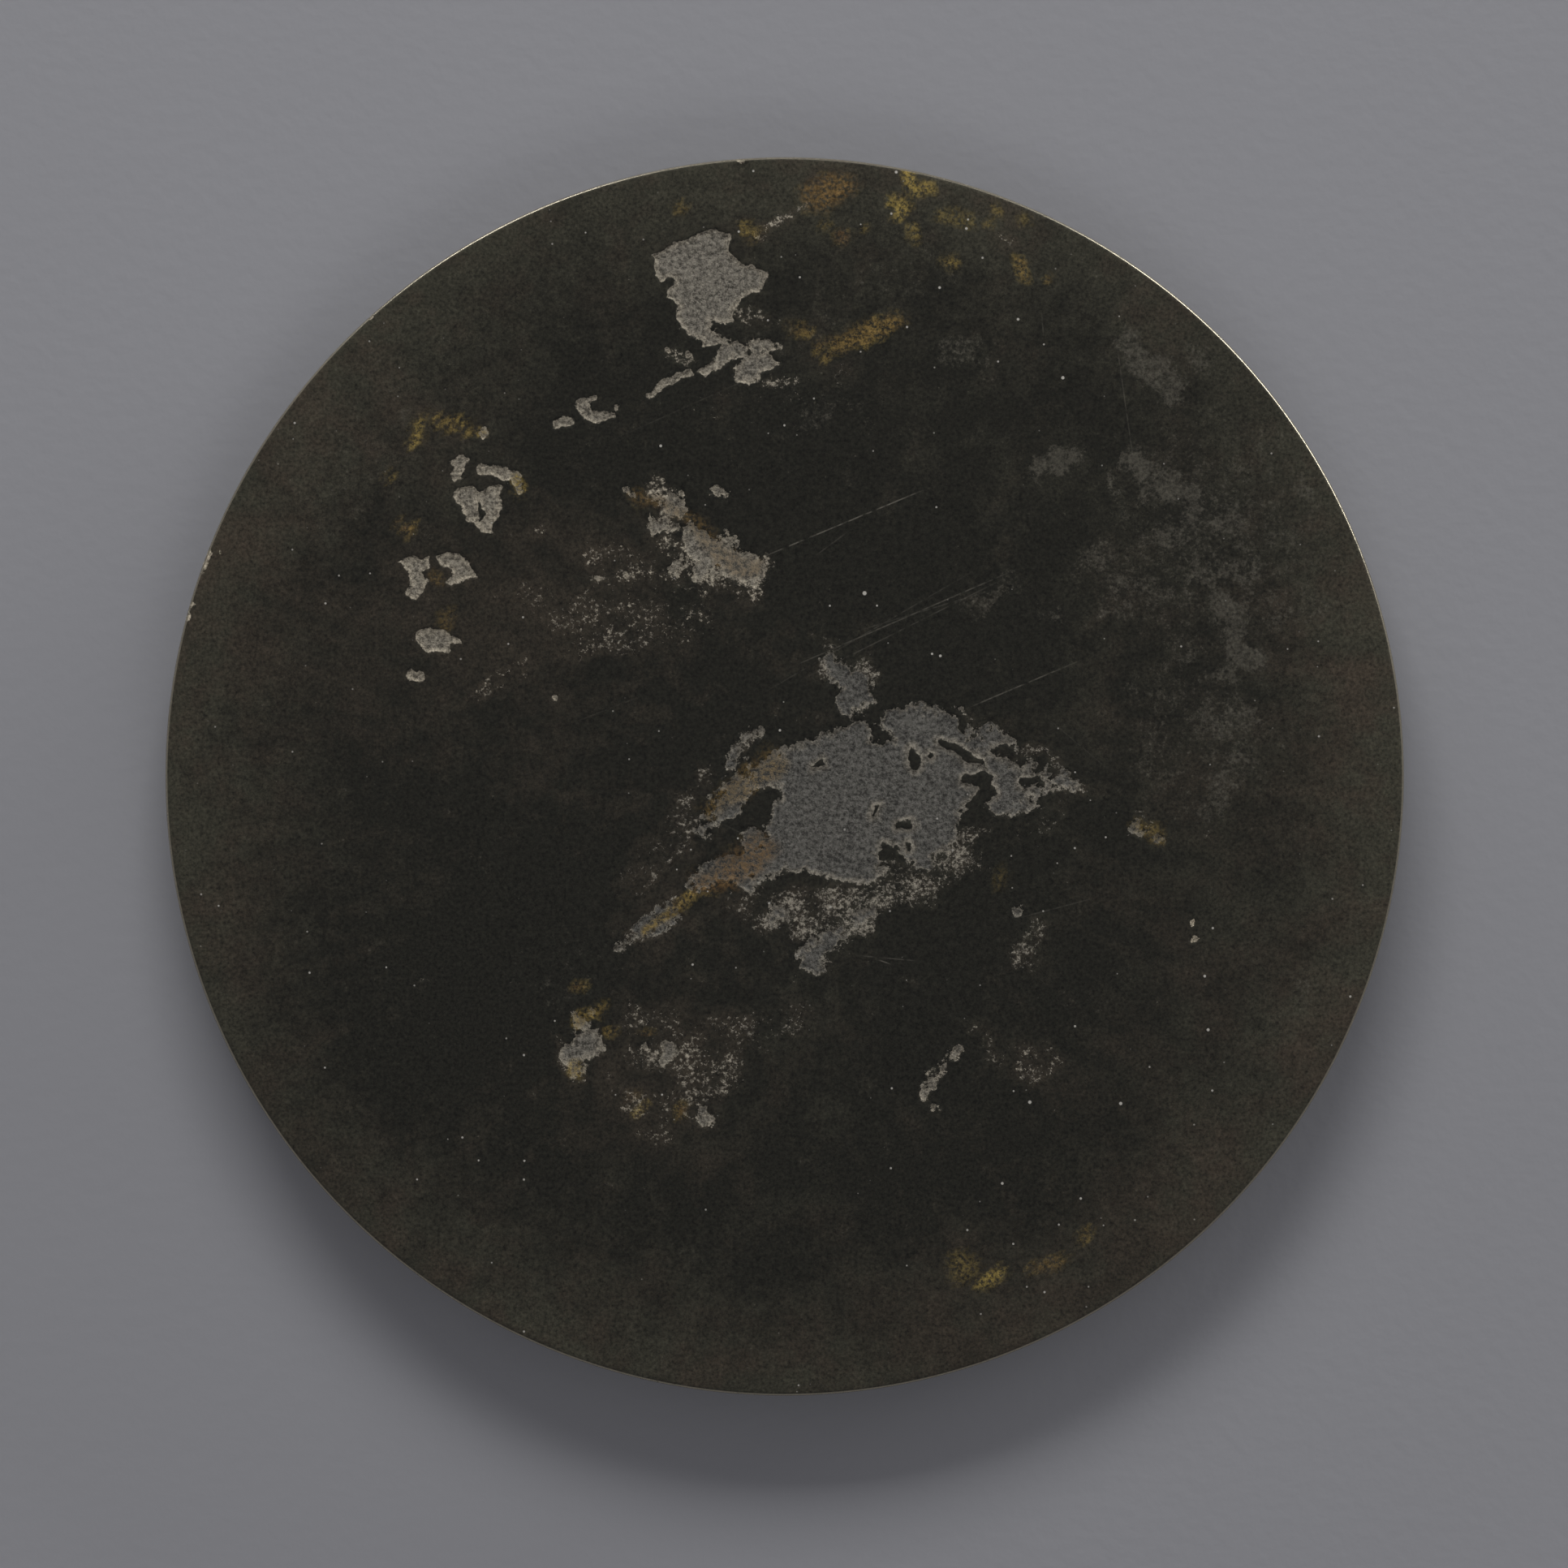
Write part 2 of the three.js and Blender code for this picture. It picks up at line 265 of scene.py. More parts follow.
# Stains as (strength, redness from 0 yellow to 1 rust, chain of (x, y, radius)).
STAINS = [
    (0.9, 0.55, [(7.9, 62.9, 1.3), (12, 64.3, 1.2), (16.2, 66, 1)]),
    (0.8, 0.5, [(0, 65, 0.6), (4, 64, 0.8), (4.6, 62.4, 0.5), (5.8, 61.3, 0.6)]),
    (0.9, 0.75, [(4, 84.4, 2.2), (8.4, 85.4, 2.2)]),
    (1, 0.1, [(18, 87.6, 1), (18.9, 85.1, 1.1), (21.4, 85.2, 0.8)]),
    (1, 0.05, [(16, 83.6, 1.2), (17.3, 82.4, 1.1), (15.8, 81, 0.8)]),
    (0.7, 0.1, [(18.9, 79.2, 0.9), (18.8, 77.8, 0.8)]), (0.6, 0.9, [(8.6, 78.6, 1.4)]),
    (0.4, 0.2, [(11.7, 79.5, 0.8)]), (0.3, 0.1, [(5.7, 79.8, 1.2)]),
    (0.35, 0, [(22.9, 80.9, 1.2), (26.2, 80.9, 1.4)]), (0.55, 0.1, [(31.2, 82.3, 1)]),
    (0.5, 0.2, [(29.5, 80, 0.9)]), (0.3, 0, [(34.5, 80.9, 1)]),
    (0.6, 0.15, [(23.6, 74.4, 0.9), (25.2, 74.4, 1)]),
    (0.75, 0.45, [(34, 74.9, 0.7), (34.2, 73.2, 0.9), (35.4, 72.4, 0.8)]),
    (0.6, 0.6, [(38.6, 72, 0.7)]),
    (0.75, 0.15, [(-5.9, 80.8, 0.7), (-5.6, 79, 0.8), (-4, 78.3, 0.7)]),
    (0.6, 0.4, [(-15.6, 83, 0.9)]), (0.85, 0.15, [(-53.7, 51.8, 0.9), (-53.9, 48.6, 1)]),
    (0.75, 0.3, [(-51, 51.6, 0.7), (-49.5, 51, 0.7), (-47.2, 51.5, 0.9), (-45.6, 50.6, 0.8)]),
    (0.7, 0.2, [(-43.7, 49.9, 1)]), (0.9, 0.1, [(-38.8, 43.4, 1), (-38.3, 41.9, 0.9)]),
    (0.7, 0.3, [(-57.7, 43.7, 0.7)]), (0.9, 0.6, [(-54, 36.2, 0.8)]),
    (0.5, 0.8, [(-55.4, 36.4, 0.9)]), (0.4, 0.6, [(-50.5, 28.6, 1.2)]),
    (0.3, 0.5, [(-49, 22.8, 1.4)]),
    (0.85, 0.35, [(-13.4, -17.2, 0.9), (-16.2, -19.6, 1), (-20.2, -22.4, 0.9)]),
    (0.75, 0.85, [(-3.5, -10.5, 2.4), (-6, -13, 2.6), (-11.5, -15.6, 1.8)]),
    (0.55, 0.6, [(-1.5, 2, 2.2), (-6.5, -2, 2), (-10.5, -5, 1.4)]),
    (0.45, 0.7, [(-22, 40.8, 1), (-14, 37.6, 1.2), (-9, 31.5, 1.8), (-4.6, 30, 1.4)]),
    (0.8, 0.15, [(-30, -42.8, 1.4)]), (0.7, 0.3, [(-29.6, -35.4, 1.2), (-26.6, -33.8, 0.9)]),
    (0.9, 0.4, [(-25.4, -37, 1)]), (0.8, 0.5, [(-29.8, -30.3, 0.7)]),
    (0.6, 0.9, [(-31.2, -31.2, 0.7)]), (0.7, 0.8, [(-20.5, -37.2, 0.8)]),
    (0.7, 0.8, [(-22, -46.6, 0.8)]), (0.9, 0.1, [(-21, -48.6, 0.8)]),
    (0.6, 0.1, [(-19.4, -46.8, 0.8)]), (0.8, 0.7, [(-14.7, -48.4, 0.9)]),
    (0.4, 0.05, [(25.5, -71, 2.4)]), (0.85, 0.05, [(30.7, -72, 1.3), (28.7, -73.2, 1.1)]),
    (0.55, 0.6, [(36, -71.2, 1), (40.5, -70.8, 0.8)]), (0.55, 0.4, [(43.9, -66.7, 1.2)]),
    (0.5, 0.3, [(50.8, -7.4, 1.2), (54.3, -9.3, 1.2)]), (0.3, 0.3, [(31.2, -14.6, 1.2)]),
]

# Cloudy wear, where the skin is thinner and paler, as (strength, chain of (x, y, radius)).
CLOUDS = [
    (0.9, [(36.6, 45.2, 2.4), (41.2, 45.8, 2.6)]), (0.8, [(50.4, 62, 3), (55.8, 56.4, 2.6)]),
    (0.5, [(60, 60.7, 3.4)]),
    (0.9, [(51.2, 46, 2.4), (53, 42, 2.4), (58.4, 42, 2.6), (59.6, 38.4, 2.6)]),
    (0.7, [(64.2, 38.6, 2.6)]), (0.7, [(52.2, 35, 2), (57, 35.2, 2.2)]), (0.7, [(70.6, 35.4, 2)]),
    (0.6, [(44, 30.8, 2.6), (54, 26.7, 3)]), (0.6, [(46.8, 24.2, 2), (50, 22.4, 2)]),
    (0.7, [(58.6, 29.5, 2.6), (67.2, 30, 2.6)]), (0.9, [(63.2, 24.4, 2.4), (67, 17.5, 3)]),
    (0.8, [(72, 23.5, 2.6)]), (0.6, [(77, 24.4, 2.2)]), (0.7, [(58.2, 16.6, 2)]),
    (0.6, [(50.4, 13.4, 1.6)]), (0.7, [(63.2, 14.6, 2.4)]),
    (0.8, [(60.4, 8.8, 2.6), (67, 8.8, 2.6)]), (0.6, [(66, 2.4, 3.4), (62, -4, 3)]),
    (0.4, [(27, 23.5, 2.4), (31.6, 27.6, 2.2)]), (0.6, [(38.9, 24, 2)]),
    (0.5, [(24, 62, 3.2), (29.8, 60.4, 3)]), (0.6, [(47.6, 42.8, 1.8)]), (0.6, [(75, 42, 2.6)]),
    (0.4, [(4, 53, 3), (11, 55, 3)]), (0.2, [(44.6, -34, 3)]), (0.5, [(75.5, -32, 2.6)]),
    (0.25, [(-34, -30, 5), (-28, -27, 4)]), (0.2, [(-8, 60, 4), (20, 74, 6)]),
    (0.2, [(-66, 40, 7), (-58, 56, 7)]), (0.42, [(62, 34, 20)]), (0.36, [(60, 6, 14)]),
]

# Broad tone over the face, darker or paler in places, as (amount from -1 dark to 1 pale, x, y, radius).
TONES = [
    (-0.42, 10, 30, 34), (-0.5, 30, -25, 36), (-0.35, -20, 50, 26), (-0.5, -40, -30, 34),
    (0.12, 62, 25, 34), (-0.2, 50, 60, 26), (0.3, 62, -38, 30), (0.2, -58, 52, 30),
    (0.12, 20, 78, 30), (-0.1, -70, 8, 24), (-0.14, 10, -80, 28), (0.34, -84, 2, 22),
    (0.32, 87, 4, 20), (0.45, -20, -44, 13), (0.12, 60, -6, 14), (0.28, -30, 26, 17),
    (0.15, -10, -26, 12), (0.2, -17, -18, 9),
]

# Where the skin is browner, as (amount, x, y, radius); elsewhere it is a cool grey-green black.
WARMTHS = [
    (0.7, -62, 22, 34), (0.9, -24, 22, 22), (0.4, -30, -38, 24), (0.5, 66, 10, 26),
    (0.5, 52, -50, 34), (0.5, 20, -78, 26), (0.8, -20, -5, 20), (0.3, -58, -40, 30),
    (1.2, -22, -42, 13), (0.6, -18, -16, 9),
]

# Hairline scratches as (x, y, x, y, strength) from end to end.
SCRATCHES = [
    (-3.8, 31.6, 21.6, 42.2, 0.85), (-0.6, 15.2, 33.9, 30.2, 0.5), (-4, 11.6, 28.4, 30.4, 0.25),
    (2, 13.8, 32.4, 29, 0.3), (8.2, 20.4, 30.6, 27.2, 0.25), (25.8, 9.6, 42.8, 16.8, 0.6),
    (47.9, 65.2, 50.9, 44.1, 0.25), (37.3, 67.5, 37.6, 63.8, 0.35),
    (10.6, -26, 19.4, -26.8, 0.35), (13.5, -26.6, 15.8, -27.4, 0.6),
    (-26.5, 48.2, 6, 62.8, 0.12), (33.8, -20.6, 45.2, -17.6, 0.2),
    (-30.2, 8, -21, 11.6, 0.15), (4.4, 32, 9, 35.4, 0.25), (38, 8.6, 47, 1, 0.15),
    (-9.6, -6.6, 3.4, -13, 0.2),
]

# The brightest grains of grit in the skin, as (x, y, radius).
GRIT = [
    (11.6, 26.6, 0.3), (13.4, 24.8, 0.14), (21.4, 17.8, 0.17), (22.6, 17.5, 0.2), (-0.7, 6.7, 0.18),
    (40.4, 57.9, 0.24), (35.6, -47.3, 0.25), (48.8, -47.5, 0.24), (31.6, -59.1, 0.2),
    (43, -61.3, 0.18), (61, -29, 0.2), (61.5, -36.8, 0.22), (-18, 48, 0.2),
    (16.2, 87.8, 0.22), (22.5, 71, 0.2), (26.4, 79.6, 0.2), (33.9, 66.4, 0.2),
]


# ---- fields over the face


def smooth(value, start, end):
    """Smooth step: t = (value - start)/(end - start) held to 0..1, then t²(3 - 2t)."""
    t = np.clip((value - start) / (end - start), 0, 1)
    return t * t * (3 - 2 * t)


def noise(x, y, size, seed, octaves=4, fade=0.55):
    """Fractal value noise: random lattice values joined by smooth steps, each octave half the size
    and `fade` times the strength of the one before. It is about -1 to 1, and repeats after 256
    cells."""
    rng = np.random.default_rng(seed)
    total = np.zeros_like(x)
    strength = 1.0
    for _ in range(octaves):
        table = rng.uniform(-1, 1, (256, 256))
        u, v = x / size + 128, y / size + 128
        i, j = np.floor(u).astype(int), np.floor(v).astype(int)
        s, t = smooth(u - i, 0, 1), smooth(v - j, 0, 1)
        low = table[i % 256, j % 256] * (1 - s) + table[(i + 1) % 256, j % 256] * s
        high = table[i % 256, (j + 1) % 256] * (1 - s) + table[(i + 1) % 256, (j + 1) % 256] * s
        total += strength * (low * (1 - t) + high * t)
        size, strength = size / 2, strength * fade
    return total


def to_segment(x, y, start, end):
    """Distance of each point to a segment, and how far along it the nearest place is, 0 to 1."""
    run = (end[0] - start[0], end[1] - start[1])
    length = run[0] ** 2 + run[1] ** 2
    if length == 0:
        return np.hypot(x - start[0], y - start[1]), np.zeros_like(x)
    along = np.clip(((x - start[0]) * run[0] + (y - start[1]) * run[1]) / length, 0, 1)
    return np.hypot(x - start[0] - along * run[0], y - start[1] - along * run[1]), along


def depth_in_outline(x, y, points):
    """Distance to the nearest side of a closed outline, positive inside. A point is inside where a
    ray along +X crosses the sides an odd number of times."""
    nearest = np.full_like(x, 1e9)
    inside = np.zeros(x.shape, bool)
    for start, end in zip(points, points[1:] + points[:1]):
        nearest = np.minimum(nearest, to_segment(x, y, start, end)[0])
        if start[1] != end[1]:
            crossing = start[0] + (y - start[1]) * (end[0] - start[0]) / (end[1] - start[1])
            inside ^= ((start[1] > y) != (end[1] > y)) & (x < crossing)
    return np.where(inside, nearest, -nearest)


def depth_in_stroke(x, y, chain):
    """Half width of a chain of (x, y, half width) points less the distance to it."""
    best = np.full_like(x, -1e9)
    for start, end in zip(chain, chain[1:] or chain):
        distance, along = to_segment(x, y, start, end)
        best = np.maximum(best, start[2] + along * (end[2] - start[2]) - distance)
    return best


def flaked_depth(x, y):
    """Signed distance in mm into the flakes, their paleness and how far their edges crumble. The
    places are first shifted by noise of 2.4 mm and the distance by noise of 1.1 mm times the
    group's crumbling, so that the edges are ragged. Noise of 2.6 mm tears holes where a flake is
    tattered. Then the islands are taken out, with crisper edges."""
    shift_x = x + 0.35 * noise(x, y, 2.4, 11)
    shift_y = y + 0.35 * noise(x, y, 2.4, 12)
    fine = noise(x, y, 1.1, 13)
    tatter = broad(x, y, TATTERED)
    tears = tatter * (0.35 * fine + 1.9 * noise(x, y, 2.6, 14, 5, 0.6))
    depth = np.full_like(x, -9.0)
    pale = np.full_like(x, 0.5)
    crumbly = np.full_like(x, 0.3)
    for own_pale, own_crumbly, outlines, strokes in FLAKES.values():
        own = np.full_like(x, -9.0)
        for points in outlines:
            own = np.maximum(own, depth_in_outline(shift_x, shift_y, points))
        for chain in strokes:
            own = np.maximum(own, depth_in_stroke(shift_x, shift_y, chain))
        own = own + 0.7 * own_crumbly * fine + np.where(own > -1.6, tears, 0)
        pale = np.where(own > depth, own_pale, pale)
        crumbly = np.where(own > depth, own_crumbly, crumbly)
        depth = np.maximum(depth, own)
    crumbly = crumbly + 0.5 * tatter
    for chain in ISLANDS:
        own = -depth_in_stroke(shift_x, shift_y, chain) - 0.15 * fine
        crumbly = np.where(own < depth, 0.2, crumbly)
        depth = np.minimum(depth, own)
    return np.clip(depth, -3, 3), pale, crumbly


def soft_spots(x, y, spots, seed, ragged):
    """Largest strength over the chains, each full out to about 0.4 of its radius and fading to
    nothing at 1.3 times it, on places shifted by noise."""
    shift_x = x + ragged * noise(x, y, 3.0, seed)
    shift_y = y + ragged * noise(x, y, 3.0, seed + 1)
    total = np.zeros_like(x)
    for strength, chain in spots:
        middle = sum(point[2] for point in chain) / len(chain)
        reach = depth_in_stroke(shift_x, shift_y, chain)
        total = np.maximum(total, strength * smooth(reach, -0.3 * middle, 0.6 * middle))
    return total


def broad(x, y, places):
    """Sum of round bells, amount·exp(-(distance/radius)²), one for each place."""
    total = np.zeros_like(x)
    for amount, px, py, radius in places:
        total += amount * np.exp(-((x - px) ** 2 + (y - py) ** 2) / radius**2)
    return total


# ---- the casting's shape


def face_height(r, sizes):
    """Height of the face in mm: the rim's height plus the rise times 1 - (r/R)²."""
    radius = sizes.face_diameter / 2 / MM
    return (sizes.rim_height + sizes.face_rise * (1 - (r / radius) ** 2)) / MM


def back_height(r, sizes):
    """Height of the back in mm: the plate's thickness under the face, less a flat-topped bump for
    each raised ring, joined to the knob's round cap by a soft minimum 1 mm wide."""
    field = face_height(r, sizes) - sizes.plate_thickness / MM
    for radius, (width, height) in (
        (sizes.outer_ring_radius, OUTER_RING),
        (sizes.inner_ring_radius, INNER_RING),
    ):
        field = field - height * smooth(np.abs(r - radius / MM), width / 2, width / 4)
    knob, tall = sizes.knob_diameter / 2 / MM, sizes.knob_height / MM
    ball = (knob**2 + tall**2) / (2 * tall)
    crown = face_height(0, sizes) - sizes.plate_thickness / MM - tall
    cap = crown + ball - np.sqrt(np.maximum(ball**2 - r**2, 0))
    blend = np.clip(0.5 + 0.5 * (cap - field), 0, 1)
    return cap * (1 - blend) + field * blend - blend * (1 - blend) / 2


def arc(middle, radius, start, end, steps):
    """Points on an arc: middle + radius·(cos t, sin t), for t from start to end in degrees."""
    t = np.radians(np.linspace(start, end, steps))
    return np.column_stack([middle[0] + radius * np.cos(t), middle[1] + radius * np.sin(t)])


def line(start, end, steps):
    """Points spaced evenly from start to end, without start itself."""
    t = np.linspace(0, 1, steps + 1)[1:, None]
    return np.array(start) * (1 - t) + np.array(end) * t


def edge_profile(sizes):
    """(r, z) points in mm from the face's flat, round its worn edge, down the drafted wall, round
    the rim's flat back and up its inner slope to the field."""
    face, edge = sizes.face_diameter / 2 / MM, sizes.edge_round / MM
    top, corner = sizes.rim_height / MM, RIM_CORNER
    back = face - sizes.wall_draft / MM
    inner = back - sizes.rim_width / MM
    field = inner - sizes.rim_slope / MM
    run, rise, lean = FILLET
    foot = np.array([field - run, float(back_height(np.array(field - run), sizes))])
    lip = np.array([field + lean, foot[1] - rise])
    bend = np.array([field, foot[1]])
    t = np.linspace(0, 1, 5)[1:, None]
    fillet = lip * (1 - t) ** 2 + bend * 2 * t * (1 - t) + foot * t**2
    return np.vstack(
        [
            arc((face - edge, top - edge), edge, 90, 0, 8)[1:],
            line((face, top - edge), (back, corner), 6),
            arc((back - corner, corner), corner, 0, -90, 5)[1:],
            line((back - corner, 0), (inner + corner, 0), 5),
            arc((inner + corner, corner), corner, -90, -180, 5)[1:],
            line((inner, corner), lip, 4),
            fillet,
        ]
    )


def field_radii(sizes):
    """Radii in mm from the rim to the middle: steps of about 2 mm, with steps of about 0.3 mm
    across each raised ring, and of 0.4 mm where the knob meets the field."""
    outer = (sizes.face_diameter / 2 - sizes.wall_draft - sizes.rim_width - sizes.rim_slope) / MM
    radii = [np.arange(2.0, outer - 2, 2.2)]
    for radius, (width, _) in (
        (sizes.outer_ring_radius, OUTER_RING),
        (sizes.inner_ring_radius, INNER_RING),
    ):
        ring, half = radius / MM, width / 2 + 0.1
        radii.append(np.arange(ring - half, ring + half + 0.01, half / 5))
    knob = sizes.knob_diameter / 2 / MM
    radii.append(np.arange(knob - 2.5, knob + 1.6, 0.4))
    joined = np.unique(np.round(np.concatenate(radii), 2))
    keep = np.concatenate([[True], np.diff(joined) > 0.15])
    return joined[keep][::-1]


def ring_points(profile, angles):
    """Points of a profile carried round the axis: x = r·cos t, y = r·sin t, z = z."""
    r, z = profile[:, 0][:, None], profile[:, 1][:, None]
    return np.stack(
        [r * np.cos(angles), r * np.sin(angles), np.broadcast_to(z, (len(profile), len(angles)))],
        axis=-1,
    ).reshape(-1, 3)


def ring_faces(rows):
    """Quads between each ring of vertex numbers and the next, closed round the axis."""
    a, b = rows[:-1], rows[1:]
    return np.stack([a, b, np.roll(b, -1, 1), np.roll(a, -1, 1)], -1).reshape(-1, 4)


def halving_faces(fine, coarse):
    """Triangles between a ring and one with half its points: three for each coarse step."""
    even, odd, after = fine[0::2], fine[1::2], np.roll(fine[0::2], -1)
    following = np.roll(coarse, -1)
    return np.concatenate(
        [
            np.stack([even, coarse, odd], -1),
            np.stack([odd, coarse, following], -1),
            np.stack([odd, following, after], -1),
        ]
    )


def casting_mesh(sizes, cells):
    """The closed body. The face is a square lattice bent to a disc: x = √2·sin a·cos b and
    y = √2·sin b·cos a times the radius, for a and b from -45° to 45°, which spaces its outer points
    evenly. The edge, wall, rim and back are a profile carried round the axis, with half as many
    points round it inside the rim and half again inside the outer ring."""
    steps = np.linspace(-math.pi / 4, math.pi / 4, cells + 1)
    a, b = np.meshgrid(steps, steps, indexing="ij")
    flat = (sizes.face_diameter / 2 - sizes.edge_round) / MM
    x = math.sqrt(2) * np.sin(a) * np.cos(b) * flat
    y = math.sqrt(2) * np.sin(b) * np.cos(a) * flat
    points = [np.stack([x, y, face_height(np.hypot(x, y), sizes)], -1).reshape(-1, 3)]
    number = np.arange((cells + 1) ** 2).reshape(cells + 1, cells + 1)
    corners = [number[:-1, :-1], number[1:, :-1], number[1:, 1:], number[:-1, 1:]]
    quads = [np.stack(corners, -1).reshape(-1, 4)]
    before = np.concatenate([number[-1, :-1], number[:0:-1, -1], number[0, :0:-1], number[:-1, 0]])
    around = 4 * cells
    angles = -math.pi / 4 + np.arange(around) * 2 * math.pi / around
    edge = edge_profile(sizes)
    radii = field_radii(sizes)
    inner = radii < sizes.outer_ring_radius / MM - 3
    triangles = []
    count = (cells + 1) ** 2
    for profile, step in (
        (edge, 1),
        (np.column_stack([radii[~inner], back_height(radii[~inner], sizes)]), 2),
        (np.column_stack([radii[inner], back_height(radii[inner], sizes)]), 4),
    ):
        points.append(ring_points(profile, angles[::step]))
        rows = count + np.arange(len(profile) * (around // step)).reshape(len(profile), -1)
        if step == 1:
            quads.append(ring_faces(np.vstack([before, rows])))
        else:
            triangles.append(halving_faces(before, rows[0]))
            quads.append(ring_faces(rows))
        before, count = rows[-1], count + rows.size
    points.append(np.array([[0, 0, float(back_height(np.array(0.0), sizes))]]))
    middle = np.full_like(before, count)
    triangles.append(np.stack([before, middle, np.roll(before, -1)], -1))
    mesh = bpy.data.meshes.new(PIECE)
    faces = np.vstack(quads).tolist() + np.vstack(triangles).tolist()
    mesh.from_pydata((np.vstack(points) * MM).tolist(), [], faces)
    return mesh


def refine_flakes(mesh, cuts, reach):
    """Cut the face's cells finer where they lie in a flake or within `reach` mm of one."""
    middles = np.empty(3 * len(mesh.polygons))
    mesh.polygons.foreach_get("center", middles)
    x, y, z = middles.reshape(-1, 3).T / MM
    upper = (z > FACE_ABOVE) & (np.hypot(x, y) < FLAT_RADIUS)
    near = upper & (flaked_depth(x, y)[0] > -reach)
    body = bmesh.new()
    body.from_mesh(mesh)
    body.faces.ensure_lookup_table()
    edges = {edge for index in np.flatnonzero(near) for edge in body.faces[index].edges}
    bmesh.ops.subdivide_edges(body, edges=list(edges), cuts=cuts, use_grid_fill=True)
    many = [face for face in body.faces if len(face.verts) > 4]
    bmesh.ops.triangulate(body, faces=many)
    body.to_mesh(mesh)
    body.free()


def pierce_knob(piece, sizes):
    """Cut the cord hole along X: an arch with its flat side to the plate and its round to the crown."""
    half = sizes.hole_width / 2 / MM
    roof = (sizes.rim_height + sizes.face_rise - sizes.plate_thickness) / MM - 0.3
    spring = roof - sizes.hole_height / MM + half
    around = arc((0, spring), half, 0, -180, 33)
    section = np.vstack([[half, roof], around, [-half, roof]])
    length = sizes.knob_diameter / 2 / MM + HOLE_MARGIN
    ends = [np.column_stack([np.full(len(section), x), section]) for x in (-length, length)]
    count = len(section)
    first = np.arange(count)
    after = np.roll(first, -1)
    sides = np.stack([first, first + count, after + count, after], -1).tolist()
    mesh = bpy.data.meshes.new("cord_hole_cutter")
    caps = [first.tolist(), (first[::-1] + count).tolist()]
    mesh.from_pydata((np.vstack(ends) * MM).tolist(), [], sides + caps)
    cutter = bpy.data.objects.new("cord_hole_cutter", mesh)
    bpy.context.scene.collection.objects.link(cutter)
    body = bmesh.new()
    body.from_mesh(mesh)
    bmesh.ops.recalc_face_normals(body, faces=body.faces)
    body.to_mesh(mesh)
    body.free()
    before = len(piece.data.vertices)
    cut = piece.modifiers.new("cord hole", "BOOLEAN")
    cut.operation = "DIFFERENCE"
    cut.solver = "MANIFOLD"
    cut.object = cutter
    bpy.context.view_layer.objects.active = piece
    bpy.ops.object.modifier_apply(modifier=cut.name)
    bpy.data.objects.remove(cutter)
    if len(piece.data.vertices) == before:
        raise RuntimeError("the cord hole was not cut")


def wear_surface(mesh, sizes):
    """Set the finished heights and store what the finish reads.

    On the face the height is the dome's, plus a slow waviness, less the flakes' depth times a smooth
    step over their edge, with grain on their floor and in broken skin. The back's field gets a slow
    casting waviness.
    """
    count = len(mesh.vertices)
    place = np.empty(count * 3)
    mesh.vertices.foreach_get("co", place)
    place = place.reshape(-1, 3) / MM
    x, y, z = place.T
    r = np.hypot(x, y)
    radius = sizes.face_diameter / 2 / MM
    on_face = z > FACE_ABOVE
    face = on_face & (r < radius - sizes.edge_round / MM + 0.01)
    depth, pale, crumbly = flaked_depth(x, y)
    crumbling = soft_spots(x, y, CRUMBLING, 21, 0.5)
    lost = smooth(depth, -0.10, 0.16)
    floor_grain = noise(x, y, 0.75, 31, 3)
    relief = sizes.flake_depth / MM * lost
    relief = relief + FLOOR_GRAIN * floor_grain * smooth(depth, -0.2, 0.3)
    relief = relief + CRUMB_RELIEF * noise(x, y, 0.9, 32, 3) * crumbling
    wave = FACE_WAVE * noise(x, y, 38.0, 33, 2)
    calm = smooth(radius - r, 0.6, 4.0)
    z = np.where(face, face_height(r, sizes) - relief + wave * calm, z)
    back = (z < BACK_BELOW) & (r < radius - 12)
    # The waviness dies away at the knob and at the rim's foot.
    calm_back = smooth(r, 13.5, 16.0) * smooth(radius - r, 12.0, 15.0)
    z = np.where(back, z + BACK_WAVE * noise(x, y, 9.0, 34, 3) * calm_back, z)
    mesh.vertices.foreach_set("co", (np.column_stack([x, y, z]) * MM).ravel())

    cloud = soft_spots(x, y, CLOUDS, 41, 1.3)
    stain = np.zeros(count)
    redness = np.zeros(count)
    for strength, red, chain in STAINS:
        own = soft_spots(x, y, [(strength, chain)], 51, 0.6)
        redness = np.where(own > stain, red, redness)
        stain = np.maximum(stain, own)
    # the face's tone from the table, made paler towards the rim
    tone = broad(x, y, TONES) + 0.7 * smooth(r / radius, 0.76, 1.02)
    warmth = broad(x, y, WARMTHS)
    shown = on_face.astype(float)
    lean = (r - radius) * MM / sizes.edge_round + 1  # the sine of the round edge's tilt
    fields = {
        "flaked": np.where(on_face, depth, -3.0),
        "pale": pale,
        "crumbly": crumbly,
        "crumbling": crumbling * shown,
        "cloud": cloud * shown,
        "stain": stain * shown,
        "redness": redness,
        "tone": np.where(on_face, tone, 0.1),
        "warmth": np.where(on_face, warmth, 0.3),
        "polished": shown,
        "worn_edge": smooth(lean, 0.45, 0.66) * smooth(lean, 1.0, 0.8) * shown,
    }
    for name, values in fields.items():
        kept = mesh.attributes.new(name, "FLOAT", "POINT")
        kept.data.foreach_set("value", values.astype(np.float32))
    mesh.update()


# ---- the finish


def add_node(tree, kind, inputs=None, output=0, **settings):
    """Add a shader node with its own settings, set or link its inputs by name or number, and give
    back one of its outputs."""
    added = tree.nodes.new("ShaderNode" + kind)
    for name, value in settings.items():
        setattr(added, name, value)
    for name, value in (inputs or {}).items():
        socket = added.inputs[name]
        if isinstance(value, bpy.types.NodeSocket):
            tree.links.new(value, socket)
        else:
            socket.default_value = value
    return added.outputs[output] if added.outputs else None


